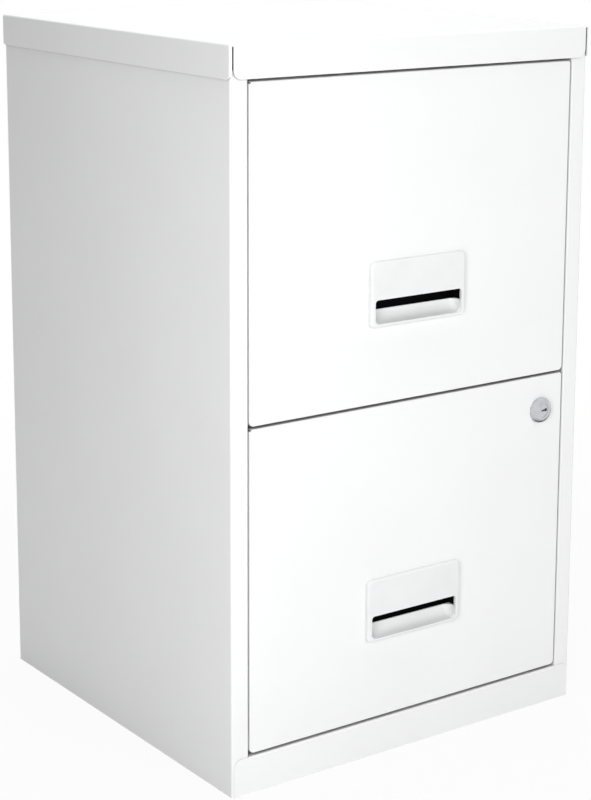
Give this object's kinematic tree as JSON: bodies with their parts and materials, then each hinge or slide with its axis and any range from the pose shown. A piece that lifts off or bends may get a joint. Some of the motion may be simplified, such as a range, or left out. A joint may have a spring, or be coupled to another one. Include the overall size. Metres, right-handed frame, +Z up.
{
  "type": "filing cabinet",
  "caption": "Upright steel filing cabinet with roller-slide drawers, recessed plate pulls, a folded top cap, a kick plate and a cylinder lock that bars the drawers.",
  "frame": {"origin": "on the floor, under the middle of the cabinet", "axes": "+X to the right of a person facing the drawers, +Y to the back, +Z up"},
  "size_m": [0.4, 0.4035, 0.66],
  "materials": {
    "carcass_paint": "white powder coat, satin, fine texture",
    "drawer_paint": "white powder coat, satin, fine texture",
    "pull_plastic": "moulded, fine satin",
    "cup_plastic": "moulded, matt black",
    "zinc_steel": "bright zinc plate",
    "roller_plastic": "moulded nylon",
    "lock_metal": "satin nickel plate"
  },
  "bodies": {
    "carcass": {"left_side_panel": "carcass_paint", "right_side_panel": "carcass_paint", "back_panel": "carcass_paint", "top_cap": "carcass_paint", "plinth": "carcass_paint", "header_rail": "carcass_paint", "centre_rail": "carcass_paint", "rear_base_rail": "carcass_paint", "cabinet_roller_pins": "zinc_steel", "slide_rivets": "zinc_steel", "lower_left_cabinet_slide": "zinc_steel", "lower_right_cabinet_slide": "zinc_steel", "upper_left_cabinet_slide": "zinc_steel", "upper_right_cabinet_slide": "zinc_steel"},
    "lower_drawer": {"lower_front_skin": "drawer_paint", "lower_front_liner": "drawer_paint", "lower_handle_plate": "pull_plastic", "lower_finger_cup": "cup_plastic", "lower_tray": "drawer_paint", "lower_drawer_back": "drawer_paint", "lower_left_drawer_rail": "zinc_steel", "lower_right_drawer_rail": "zinc_steel", "lower_drawer_roller_pins": "zinc_steel", "lower_rail_rivets": "zinc_steel", "lower_tab_rivets": "zinc_steel", "lock_housing": "lock_metal", "lock_nut": "zinc_steel", "lock_bar_guide": "roller_plastic"},
    "upper_drawer": {"upper_front_skin": "drawer_paint", "upper_front_liner": "drawer_paint", "upper_handle_plate": "pull_plastic", "upper_finger_cup": "cup_plastic", "upper_tray": "drawer_paint", "upper_drawer_back": "drawer_paint", "upper_left_drawer_rail": "zinc_steel", "upper_right_drawer_rail": "zinc_steel", "upper_drawer_roller_pins": "zinc_steel", "upper_rail_rivets": "zinc_steel", "upper_tab_rivets": "zinc_steel"},
    "lock_core": {"lock_plug": "lock_metal", "lock_crank": "zinc_steel"},
    "lock_bolt": {"lock_bar": "zinc_steel"},
    "lower_left_cabinet_roller": {"lower_left_cabinet_roller": "roller_plastic"},
    "lower_left_drawer_roller": {"lower_left_drawer_roller": "roller_plastic"},
    "lower_right_cabinet_roller": {"lower_right_cabinet_roller": "roller_plastic"},
    "lower_right_drawer_roller": {"lower_right_drawer_roller": "roller_plastic"},
    "upper_left_cabinet_roller": {"upper_left_cabinet_roller": "roller_plastic"},
    "upper_left_drawer_roller": {"upper_left_drawer_roller": "roller_plastic"},
    "upper_right_cabinet_roller": {"upper_right_cabinet_roller": "roller_plastic"},
    "upper_right_drawer_roller": {"upper_right_drawer_roller": "roller_plastic"}
  },
  "joints": [
    {"name": "lower_drawer_slide", "type": "slide", "parent": "carcass", "child": "lower_drawer", "axis": [0, -1, 0], "range_m": [0, 0.28]},
    {"name": "upper_drawer_slide", "type": "slide", "parent": "carcass", "child": "upper_drawer", "axis": [0, -1, 0], "range_m": [0, 0.28]},
    {"name": "lower_left_cabinet_roller_spin", "type": "hinge", "parent": "carcass", "child": "lower_left_cabinet_roller", "pos_m": [-0.1736, -0.166, 0.1064], "axis": [1, 0, 0], "continuous": true},
    {"name": "lower_left_drawer_roller_spin", "type": "hinge", "parent": "lower_drawer", "child": "lower_left_drawer_roller", "pos_m": [-0.1736, 0.1485, 0.1064], "axis": [1, 0, 0], "continuous": true},
    {"name": "lower_right_cabinet_roller_spin", "type": "hinge", "parent": "carcass", "child": "lower_right_cabinet_roller", "pos_m": [0.1736, -0.166, 0.1064], "axis": [1, 0, 0], "continuous": true},
    {"name": "lower_right_drawer_roller_spin", "type": "hinge", "parent": "lower_drawer", "child": "lower_right_drawer_roller", "pos_m": [0.1736, 0.1485, 0.1064], "axis": [1, 0, 0], "continuous": true},
    {"name": "upper_left_cabinet_roller_spin", "type": "hinge", "parent": "carcass", "child": "upper_left_cabinet_roller", "pos_m": [-0.1736, -0.166, 0.4037], "axis": [1, 0, 0], "continuous": true},
    {"name": "upper_left_drawer_roller_spin", "type": "hinge", "parent": "upper_drawer", "child": "upper_left_drawer_roller", "pos_m": [-0.1736, 0.1485, 0.4037], "axis": [1, 0, 0], "continuous": true},
    {"name": "upper_right_cabinet_roller_spin", "type": "hinge", "parent": "carcass", "child": "upper_right_cabinet_roller", "pos_m": [0.1736, -0.166, 0.4037], "axis": [1, 0, 0], "continuous": true},
    {"name": "upper_right_drawer_roller_spin", "type": "hinge", "parent": "upper_drawer", "child": "upper_right_drawer_roller", "pos_m": [0.1736, 0.1485, 0.4037], "axis": [1, 0, 0], "continuous": true},
    {"name": "lock_turn", "type": "hinge", "parent": "lower_drawer", "child": "lock_core", "pos_m": [0.1521, -0.1985, 0.2985], "axis": [0, 1, 0], "range_deg": [0, 90]},
    {"name": "lock_bar_lift", "type": "slide", "parent": "lower_drawer", "child": "lock_bolt", "axis": [0, 0, 1], "range_m": [0, 0.0099]}
  ],
  "couplings": [
    {"joint": "lower_left_cabinet_roller_spin", "follows": "lower_drawer_slide", "rad_per_m": 111.11},
    {"joint": "lower_left_drawer_roller_spin", "follows": "lower_drawer_slide", "rad_per_m": 111.11},
    {"joint": "lower_right_cabinet_roller_spin", "follows": "lower_drawer_slide", "rad_per_m": 111.11},
    {"joint": "lower_right_drawer_roller_spin", "follows": "lower_drawer_slide", "rad_per_m": 111.11},
    {"joint": "upper_left_cabinet_roller_spin", "follows": "upper_drawer_slide", "rad_per_m": 111.11},
    {"joint": "upper_left_drawer_roller_spin", "follows": "upper_drawer_slide", "rad_per_m": 111.11},
    {"joint": "upper_right_cabinet_roller_spin", "follows": "upper_drawer_slide", "rad_per_m": 111.11},
    {"joint": "upper_right_drawer_roller_spin", "follows": "upper_drawer_slide", "rad_per_m": 111.11},
    {"joint": "lock_bar_lift", "follows": "lock_turn", "m_per_rad": 0.0063022}
  ]
}
